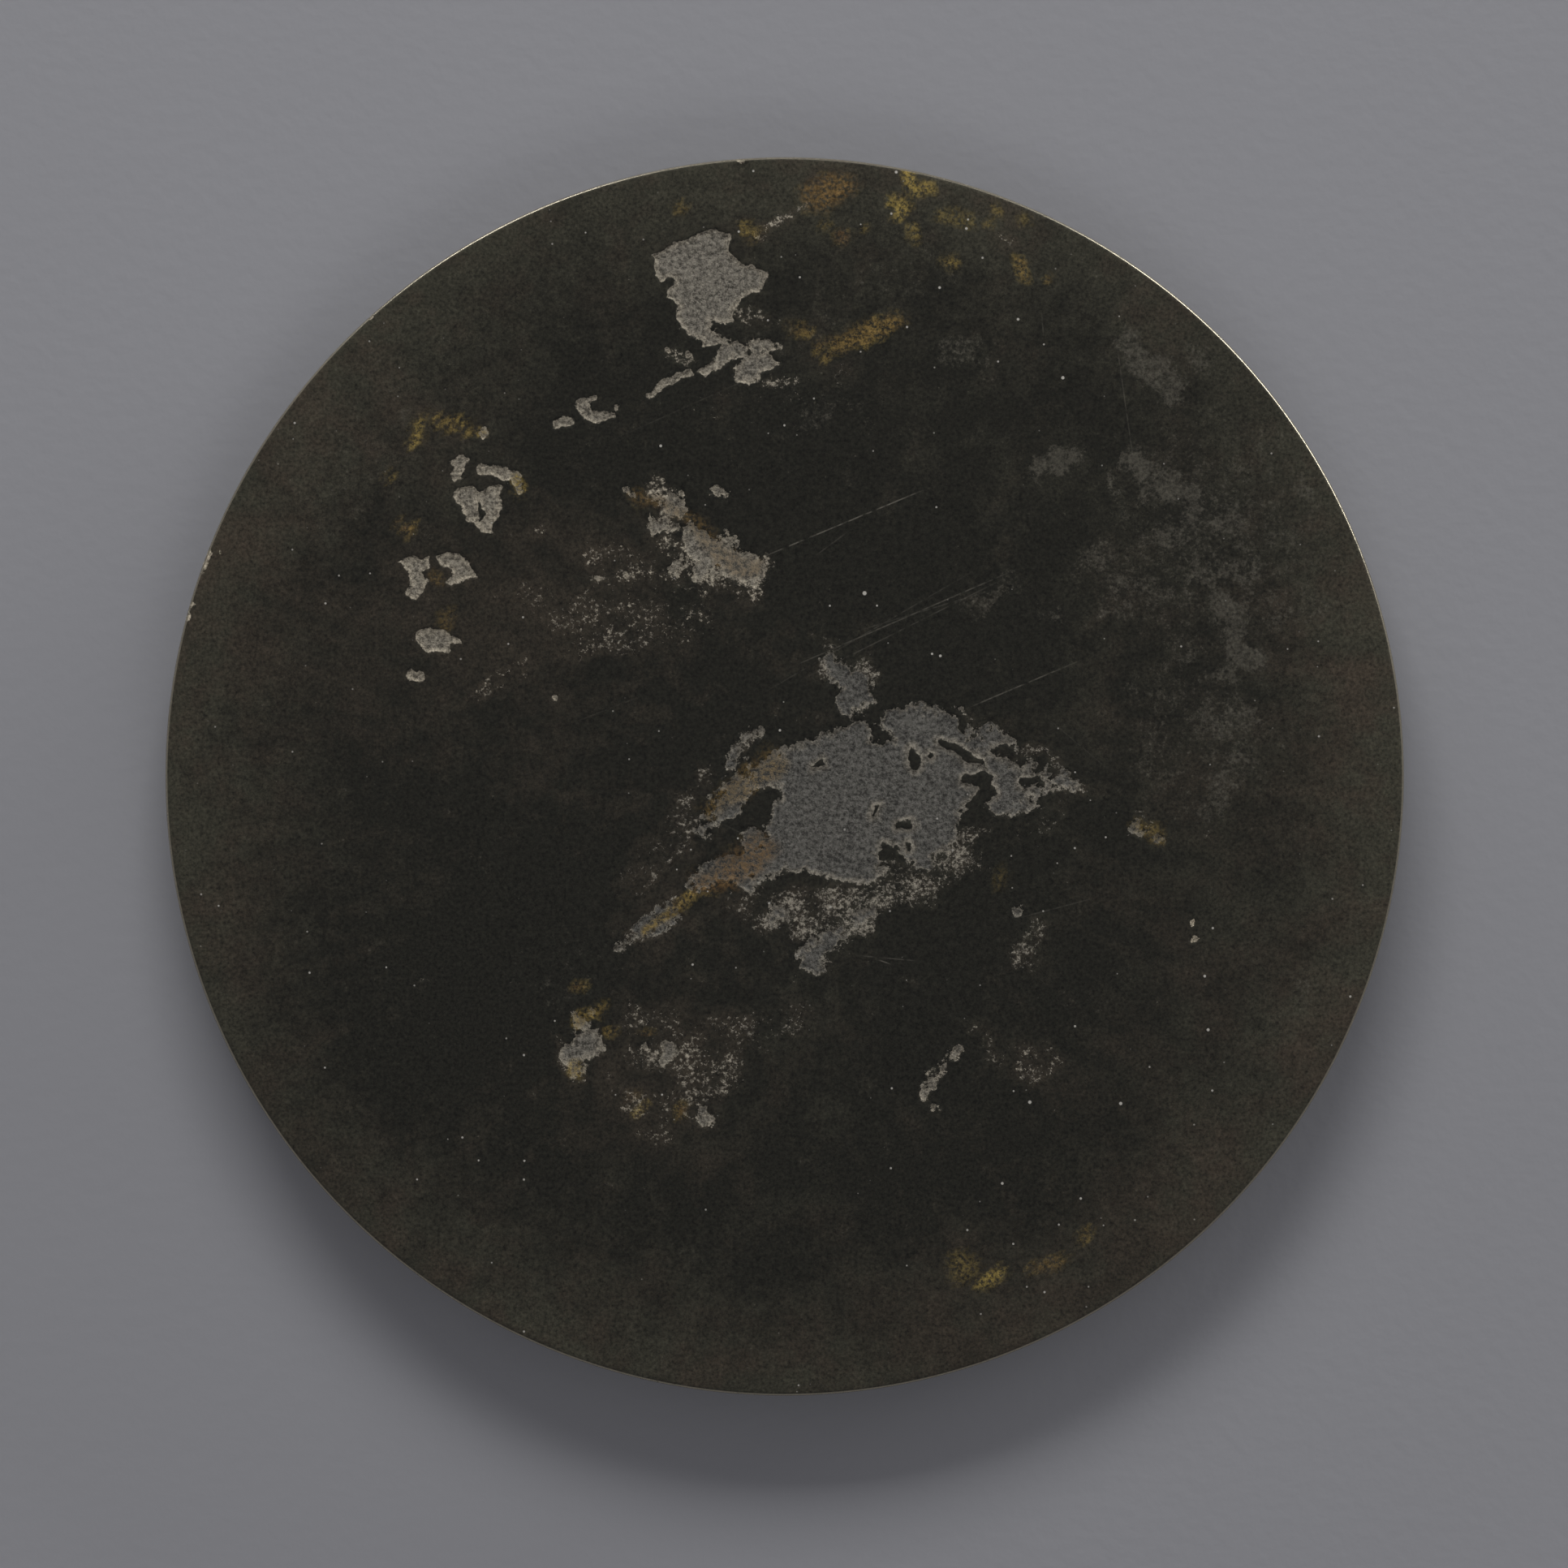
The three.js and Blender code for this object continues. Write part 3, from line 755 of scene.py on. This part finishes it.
def new_material(name):
    """An empty node material, what adds a node to it, and the place on the piece in mm."""
    material = bpy.data.materials.new(name)
    material.use_nodes = True
    material.node_tree.nodes.clear()
    add = partial(add_node, material.node_tree)
    place = add("TexCoord", output="Object")
    return material, add, add("Mapping", {"Vector": place, "Scale": (1000, 1000, 1000)})


def hairlines(add, mm):
    """How strongly any hairline scratch shows: a band 0.17 mm wide, coarser than a real hairline
    so that it still shows from a metre away, that fades out at both ends and is broken by noise."""
    total = 0.0
    for x0, y0, x1, y1, strength in SCRATCHES:
        half = math.hypot(x1 - x0, y1 - y0) / 2
        middle = ((x0 + x1) / 2, (y0 + y1) / 2, 0)
        turn = (0, 0, math.atan2(y1 - y0, x1 - x0))
        own = {"Vector": mm, "Location": middle, "Rotation": turn}
        axes = add("SeparateXYZ", {0: add("Mapping", own, vector_type="TEXTURE")}).node.outputs
        across = add("Math", {0: axes["Y"]}, operation="ABSOLUTE")
        along = add("Math", {0: axes["X"]}, operation="ABSOLUTE")
        band = {"From Min": 0.13, "From Max": 0.04, "To Max": strength}
        narrow = add("MapRange", {"Value": across, **band})
        ends = add("MapRange", {"Value": along, "From Min": half, "From Max": half * 0.6})
        mark = add("Math", {0: narrow, 1: ends}, operation="MULTIPLY")
        total = add("Math", {0: total, 1: mark}, operation="MAXIMUM")
    broken = add("TexNoise", {"Vector": mm, "Scale": 0.9, "Detail": 4})
    gaps = add("MapRange", {"Value": broken, "From Min": 0.36, "From Max": 0.56})
    return add("Math", {0: total, 1: gaps}, operation="MULTIPLY")


def grit_grains(add, mm):
    """Bright grit: 1 inside a grain, fading to 0 from 0.75 to 1.15 times its radius."""
    flat = add("VectorMath", {0: mm, 1: (1, 1, 0)}, operation="MULTIPLY")
    total = 0.0
    for x, y, radius in GRIT:
        away = add("VectorMath", {0: flat, 1: (x, y, 0)}, "Value", operation="DISTANCE")
        edge = {"From Min": radius * 1.15, "From Max": radius * 0.75}
        grain = add("MapRange", {"Value": away, **edge})
        total = add("Math", {0: total, 1: grain}, operation="MAXIMUM")
    return total


def patinated_cast_bronze(colours):
    """High-tin bronze, cast and polished, then turned by burial to a smooth brown-black skin.

    The eye sees a satin dark skin with slow clouds of brown and grey-green, a matt granular grey
    where it has flaked, yellow and rust stains, pale grit, and hairlines from wiping. The flakes'
    colour also carries painted light: a painted highlight along each flake's edge, and painted
    shade in the grain's pits with painted highlight on its bumps.
    """
    material, add, mm = new_material("patinated_cast_bronze")
    part = {name: (*getattr(colours, name), 1) for name in MirrorColours.__annotations__}
    for name in (
        "flaked", "pale", "crumbly", "crumbling", "cloud", "stain", "redness", "tone", "warmth",
        "polished", "worn_edge",
    ):
        part[name] = add("Attribute", output="Fac", attribute_name=name)
    for name, size, detail, rough in (
        ("ragged", 1.1, 5, 0.72),  # crisp broken edge of a flake
        ("crumb", 0.6, 4, 0.75),  # crumbs of skin and bare metal
        ("grain", 0.60, 4, 0.85),  # tin-rich grains of 0.3 to 0.5 mm
        ("drift", 13.0, 5, 0.62),  # slow clouds of the patina
        ("bloom", 3.4, 5, 0.74),  # small mottling of the skin
        ("dust", 0.50, 2, 0.80),  # dusty tooth of the skin
        ("rusty", 7.0, 4, 0.62),  # red-brown bloom
    ):
        weave = {"Scale": 1 / size, "Detail": detail, "Roughness": rough}
        part[name] = add("TexNoise", {"Vector": mm, **weave})

    # A flake's edge, made ragged by noise times how far it crumbles.
    offset = add("Math", {0: part["ragged"], 1: 0.5}, operation="SUBTRACT")
    reach = add("Math", {0: part["crumbly"], 1: 6.5}, operation="MULTIPLY")
    part["torn"] = add("Math", {0: offset, 1: reach, 2: part["flaked"]}, operation="MULTIPLY_ADD")

    # Sums: a base, and each source times its weight added to it.
    for name, base, *terms in (
        ("clumps", "crumb", ("bloom", 0.8)),
        ("broken", "clumps", ("crumbling", 0.375)),
        ("level", "tone", ("drift", 1.6), ("bloom", 1.9), ("crumbling", 0.55)),
        ("warm", "rusty", ("warmth", 0.25), ("crumbling", 0.15)),
        ("thin", "clumps", ("cloud", 0.40)),
        # the bare grain's colour follows the grain's bump height: its own colour, with painted shade in
        # pits and painted highlight on bumps
        ("flecks", "grain", ("bloom", 0.15)),
    ):
        part[name] = part[base]
        for source, weight in terms:
            summed = {0: part[source], 1: weight, 2: part[name]}
            part[name] = add("Math", summed, operation="MULTIPLY_ADD")

    # Ranges: from start to end a source gives from low to high, and is held there or runs on.
    for name, source, start, end, low, high, held in (
        ("lost", "torn", -0.06, 0.06, 0, 1, True),  # skin gone from a flake
        ("fringe", "torn", 1.0, 0.0, 0, 0.55, True),  # painted highlight: a paler band along a flake's edge, where light would catch the broken lip
        ("crumbs", "broken", 1.19, 1.35, 0, 1, True),  # bare crumbs in broken skin
        ("level", "level", 1.45, 2.5, 0, 1, False),  # dark to pale skin
        ("warm", "warm", 0.48, 0.72, 0, 0.8, True),  # cool to brown skin
        ("thin", "thin", 1.08, 1.28, 0, 0.75, True),  # cloudy worn patches
        ("tooth", "dust", 0.3, 0.7, 0.45, 1.55, False),  # shade of the skin's dusty tooth
        ("flecks", "flecks", 0.46, 0.70, 0.35, 1.9, True),  # the bare grain's own colour, darker in its pits and paler on its bumps as painted shade and highlight
        ("soaked", "crumb", 0.42, 0.56, 0, 1, True),  # where a stain has soaked in
        ("rubbed", "crumb", 0.2, 0.45, 0, 1, True),  # gaps in the rubbed line
        ("satin", "bloom", 0.3, 0.7, 0.38, 0.5, True),  # roughness of the skin
    ):
        limits = {"From Min": start, "From Max": end, "To Min": low, "To Max": high}
        part[name] = add("MapRange", {"Value": part[source], **limits}, clamp=held)

    # Pin specks in cells of 2.2 mm, half of them with one and the brightest up to 0.4 mm across,
    # then the larger grit and the hairlines.
    cells = add("TexVoronoi", {"Vector": mm, "Scale": 0.45}).node.outputs
    chosen = add("SeparateXYZ", {0: cells["Color"]})
    spread = {"From Min": 0.5, "From Max": 1.0, "To Max": 0.9}
    chosen = add("MapRange", {"Value": chosen, **spread})
    away = add("Math", {0: chosen, 1: -0.05, 2: cells["Distance"]}, operation="MULTIPLY_ADD")
    part["chosen"] = chosen
    part["speck"] = add("MapRange", {"Value": away, "From Min": 0.045, "From Max": 0.02})
    part["grains"] = grit_grains(add, mm)
    part["scratched"] = hairlines(add, mm)

    # Pairs: two values, or a value and a number, worked into one.
    for name, one, other, how in (
        ("level", "level", 0.0, "MAXIMUM"),
        ("bare", "lost", "crumbs", "MAXIMUM"),
        # the flake's paleness plus the painted highlight along its edge
        ("light", "pale", "fringe", "ADD"),
        ("soaked", "soaked", "stain", "MULTIPLY"),
        ("speck", "speck", "chosen", "MULTIPLY"),
        ("speck", "speck", "grains", "MAXIMUM"),
        ("speck", "speck", "polished", "MULTIPLY"),
        ("scratched", "scratched", "polished", "MULTIPLY"),
        ("scratched", "scratched", 0.9, "MULTIPLY"),
        ("rubbed", "rubbed", "worn_edge", "MULTIPLY"),
        ("steps", "bare", -0.12, "MULTIPLY"),
        ("rough_grain", "grain", "bare", "MULTIPLY"),
    ):
        part[name] = add("Math", {0: part[one], 1: part.get(other, other)}, operation=how)

    # Layers: a share of one colour over another, then shaded by a pattern if one is named.
    for name, share, below, above, held, shade in (
        ("cool", "level", "skin_dark", "skin_pale", False, None),
        ("brown", "level", "skin_dark", "skin_brown", False, None),
        ("skin", "warm", "cool", "brown", True, None),
        ("skin", "thin", "skin", "skin_cloud", True, "tooth"),
        # the bare grain, grey to cream, with the painted highlight along a flake's edge and the painted
        # shade and highlight of its relief
        ("bare_grain_and_painted_light", "light", "flake_grey", "flake_cream", False, "flecks"),
        ("surface", "bare", "skin", "bare_grain_and_painted_light", True, None),
        ("stained", "redness", "stain_yellow", "stain_rust", True, "tooth"),
        ("surface", "soaked", "surface", "stained", True, None),
        ("surface", "speck", "surface", "grit", True, None),
        ("surface", "scratched", "surface", "scratch", True, None),
        ("surface", "rubbed", "surface", "rubbed_edge", True, None),
    ):
        both = {0: part[share], 6: part[below], 7: part[above]}
        part[name] = add("Mix", both, 2, data_type="RGBA", clamp_factor=held)
        if shade:
            part[name] = add("VectorMath", {0: part[name], "Scale": part[shade]}, operation="SCALE")

    # Relief finer than the mesh: the step into a flake, its grain, and the skin's faint tooth.
    height = part["steps"]
    for source, weight in (("rough_grain", 0.30), ("dust", 0.006)):
        height = add("Math", {0: part[source], 1: weight, 2: height}, operation="MULTIPLY_ADD")
    bump = add("Bump", {"Height": height, "Strength": 1.0, "Distance": MM})

    # Roughness: cast back and wall, then satin skin, matt bare grain and the rubbed line.
    rough = 0.6
    for share, value in (("polished", part["satin"]), ("bare", 0.85), ("rubbed", 0.26)):
        rough = add("Mix", {0: part[share], 2: rough, 3: value}, data_type="FLOAT")
    look = {"Base Color": part["surface"], "Roughness": rough, "Metallic": part["rubbed"]}
    bronze = add("BsdfPrincipled", {**look, "Normal": bump})
    add("OutputMaterial", {"Surface": bronze})
    return material


def painted_board(colour):
    """A board painted pale matt grey: the eye sees an even soft tone with a faint roller tooth of
    about 2 mm, drawn weak because it is out of the light's glance."""
    material, add, mm = new_material("painted_board")
    tooth = add("TexNoise", {"Vector": mm, "Scale": 0.5, "Detail": 2})
    bump = add("Bump", {"Height": tooth, "Strength": 0.05, "Distance": MM})
    paint = add("BsdfPrincipled", {"Base Color": (*colour, 1), "Roughness": 0.8, "Normal": bump})
    add("OutputMaterial", {"Surface": paint})
    return material


# ---- what a user would change


def length(name, description, default):
    """A length property in metres."""
    return bpy.props.FloatProperty(
        name=name, description=description, default=default, min=0, unit="LENGTH", precision=5
    )


def colour(name, description, code):
    """A colour property from an sRGB hex value."""
    return bpy.props.FloatVectorProperty(
        name=name, description=description, default=linear(code), subtype="COLOR", min=0, max=1
    )


class MirrorSizes(bpy.types.PropertyGroup):
    """Sizes of the casting, from the frame where it gives them."""

    face_diameter: length("Face diameter", "Across the polished face", HIGH.x - LOW.x)
    rim_height: length("Rim height", "From the floor to the face's edge", 10 * MM)
    face_rise: length("Face rise", "The middle of the face above its edge", HIGH.z - 10 * MM)
    wall_draft: length("Wall draft", "How much smaller the radius is at the back", 1.4 * MM)
    edge_round: length("Edge round", "Radius of the worn edge of the face", 0.6 * MM)
    rim_width: length("Rim width", "Flat back of the rim", 8 * MM)
    rim_slope: length("Rim slope", "Run of the rim's inner wall", 1.6 * MM)
    plate_thickness: length("Plate thickness", "Thickness of the plate", 2.8 * MM)
    outer_ring_radius: length("Outer ring radius", "Raised ring on the back", 54 * MM)
    inner_ring_radius: length("Inner ring radius", "Raised ring round the knob", 26 * MM)
    knob_diameter: length("Knob diameter", "Across the knob", 24 * MM)
    knob_height: length("Knob height", "The knob's crown above the plate", 7.4 * MM)
    hole_width: length("Hole width", "Width of the cord hole", 6.6 * MM)
    hole_height: length("Hole height", "Height of the cord hole", 5.0 * MM)
    flake_depth: length("Flake depth", "Thickness of the skin that has flaked away", 0.2 * MM)


class MirrorColours(bpy.types.PropertyGroup):
    """Colours of the patina and of what lies under and on it."""

    skin_dark: colour("Skin, dark", "Darkest patina", "#2b2a23")
    skin_pale: colour("Skin, pale", "Palest olive patina", "#464438")
    skin_brown: colour("Skin, brown", "Browner patina", "#4a4136")
    skin_cloud: colour("Skin, worn", "Cloudy patches of thin skin", "#5f5b50")
    flake_grey: colour("Flake, grey", "Bare grain, dark grey", "#4a4c4c")
    flake_cream: colour("Flake, cream", "Bare grain, pale cream", "#9c9484")
    stain_yellow: colour("Stain, yellow", "Yellow iron stain", "#ab9550")
    stain_rust: colour("Stain, rust", "Rust stain", "#7c5c3c")
    scratch: colour("Scratch", "Metal shown by a hairline", "#817c70")
    grit: colour("Grit", "Pale grains in the skin", "#d6d1c6")
    rubbed_edge: colour("Rubbed edge", "Metal rubbed bare along the edge", "#c8bfa9")


class StageSettings(bpy.types.PropertyGroup):
    """The floor, the light and the camera."""

    floor: colour("Floor", "Painted board that the mirror lies on", "#b4b4b8")
    surround: colour("Surround", "The room's soft grey", "#626266")
    key_power: bpy.props.FloatProperty(
        name="Key light", description="Power of the large soft light", default=15.0, min=0,
        unit="POWER",
    )
    rim_power: bpy.props.FloatProperty(
        name="Rim lights", description="Power that the two low lights take their shares of",
        default=30.0, min=0, unit="POWER",
    )
    camera_height: length("Camera height", "Camera above the mirror's edge", 1.25)
    framed: length("Framed width", "Width of the view at the mirror's edge", 227.8 * MM)


# ---- operators


class BRONZE_MIRROR_OT_cast(bpy.types.Operator):
    """Cast the mirror: one closed piece with its relief and its patina"""

    bl_idname = "bronze_mirror.cast"
    bl_label = "Cast the mirror"

    def execute(self, context):
        scene = context.scene
        sizes = scene.mirror_sizes
        mesh = casting_mesh(sizes, FACE_CELLS)
        refine_flakes(mesh, FLAKE_CUTS, FLAKE_REACH)
        piece = bpy.data.objects.new(PIECE, mesh)
        scene.collection.objects.link(piece)
        pierce_knob(piece, sizes)
        mesh = piece.data
        wear_surface(mesh, sizes)
        for other in context.selected_objects:
            other.select_set(False)
        piece.select_set(True)
        context.view_layer.objects.active = piece
        bpy.ops.object.shade_smooth_by_angle(angle=math.radians(50))
        mesh.materials.clear()
        mesh.materials.append(patinated_cast_bronze(scene.mirror_colours))
        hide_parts(NODE)
        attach(piece, "root")
        return {"FINISHED"}


class BRONZE_MIRROR_OT_stage(bpy.types.Operator):
    """Lay the floor, set the soft lights and hang the camera over the mirror"""

    bl_idname = "bronze_mirror.stage"
    bl_label = "Set the stage"

    def execute(self, context):
        scene = context.scene
        settings = scene.mirror_stage
        floor_mesh = bpy.data.meshes.new("floor")
        signs = ((-1, -1), (1, -1), (1, 1), (-1, 1))
        corners = [(x * FLOOR_HALF, y * FLOOR_HALF, -FLOOR_DROP) for x, y in signs]
        floor_mesh.from_pydata(corners, [], [(0, 1, 2, 3)])
        floor = bpy.data.objects.new("floor", floor_mesh)
        floor_mesh.materials.append(painted_board(settings.floor))
        scene.collection.objects.link(floor)
        key, rim = settings.key_power, settings.rim_power
        for name, place, width, height, power in (
            ("key", (-0.15, 1.50, 0.85), 1.2, 0.5, key),
            ("fill", (0.25, -0.9, 1.0), 0.9, 0.6, key * 0.1),
            ("rim_left", (-1.06, 2.12, 0.29), 0.9, 0.28, rim * 0.24),
            ("rim_right", (1.76, 1.58, 0.28), 1.6, 0.28, rim * 0.62),
        ):
            light = bpy.data.lights.new(name, "AREA")
            light.shape = "RECTANGLE"
            light.size, light.size_y, light.energy = width, height, power
            lamp = bpy.data.objects.new(name, light)
            lamp.location = place
            aim = mathutils.Vector((0, 0, HIGH.z)) - lamp.location
            lamp.rotation_euler = aim.to_track_quat("-Z", "Y").to_euler()
            lamp.visible_glossy = name.startswith("rim")  # so only the rim lights glint
            scene.collection.objects.link(lamp)
        world = bpy.data.worlds.new("room")
        world.use_nodes = True
        world.node_tree.nodes.clear()
        glow = add_node(world.node_tree, "Background", {"Color": (*settings.surround, 1)})
        add_node(world.node_tree, "OutputWorld", {"Surface": glow})
        scene.world = world
        scene.view_settings.view_transform = "Standard"
        camera = bpy.data.cameras.new("camera")
        camera.lens = camera.sensor_width * settings.camera_height / settings.framed
        hung = bpy.data.objects.new("camera", camera)
        hung.location = (CAMERA_OFFSET[0], CAMERA_OFFSET[1], 10 * MM + settings.camera_height)
        scene.collection.objects.link(hung)
        scene.camera = hung
        return {"FINISHED"}


class BRONZE_MIRROR_PT_panel(bpy.types.Panel):
    """The mirror's settings and operators"""

    bl_idname = "BRONZE_MIRROR_PT_panel"
    bl_label = "Bronze mirror"
    bl_space_type = "VIEW_3D"
    bl_region_type = "UI"
    bl_category = "Mirror"

    def draw(self, context):
        scene = context.scene
        for title, group in (
            ("Sizes", scene.mirror_sizes),
            ("Colours", scene.mirror_colours),
            ("Stage", scene.mirror_stage),
        ):
            box = self.layout.box()
            box.label(text=title)
            for name in group.bl_rna.properties.keys():
                if name not in ("rna_type", "name"):
                    box.prop(group, name)
        for operator in (BRONZE_MIRROR_OT_cast, BRONZE_MIRROR_OT_stage):
            self.layout.operator(operator.bl_idname)


CLASSES = (
    MirrorSizes,
    MirrorColours,
    StageSettings,
    BRONZE_MIRROR_OT_cast,
    BRONZE_MIRROR_OT_stage,
    BRONZE_MIRROR_PT_panel,
)
GROUPS = {
    "mirror_sizes": MirrorSizes,
    "mirror_colours": MirrorColours,
    "mirror_stage": StageSettings,
}


def register():
    """Add the classes, and the settings to the scene."""
    for kind in CLASSES:
        bpy.utils.register_class(kind)
    for name, group in GROUPS.items():
        setattr(bpy.types.Scene, name, bpy.props.PointerProperty(type=group))


def unregister():
    """Take the settings and the classes away."""
    for name in GROUPS:
        delattr(bpy.types.Scene, name)
    for kind in reversed(CLASSES):
        bpy.utils.unregister_class(kind)


def main():
    """Build the mirror and its stage."""
    register()
    bpy.ops.bronze_mirror.cast()
    bpy.ops.bronze_mirror.stage()


if __name__ == "__main__":
    main()
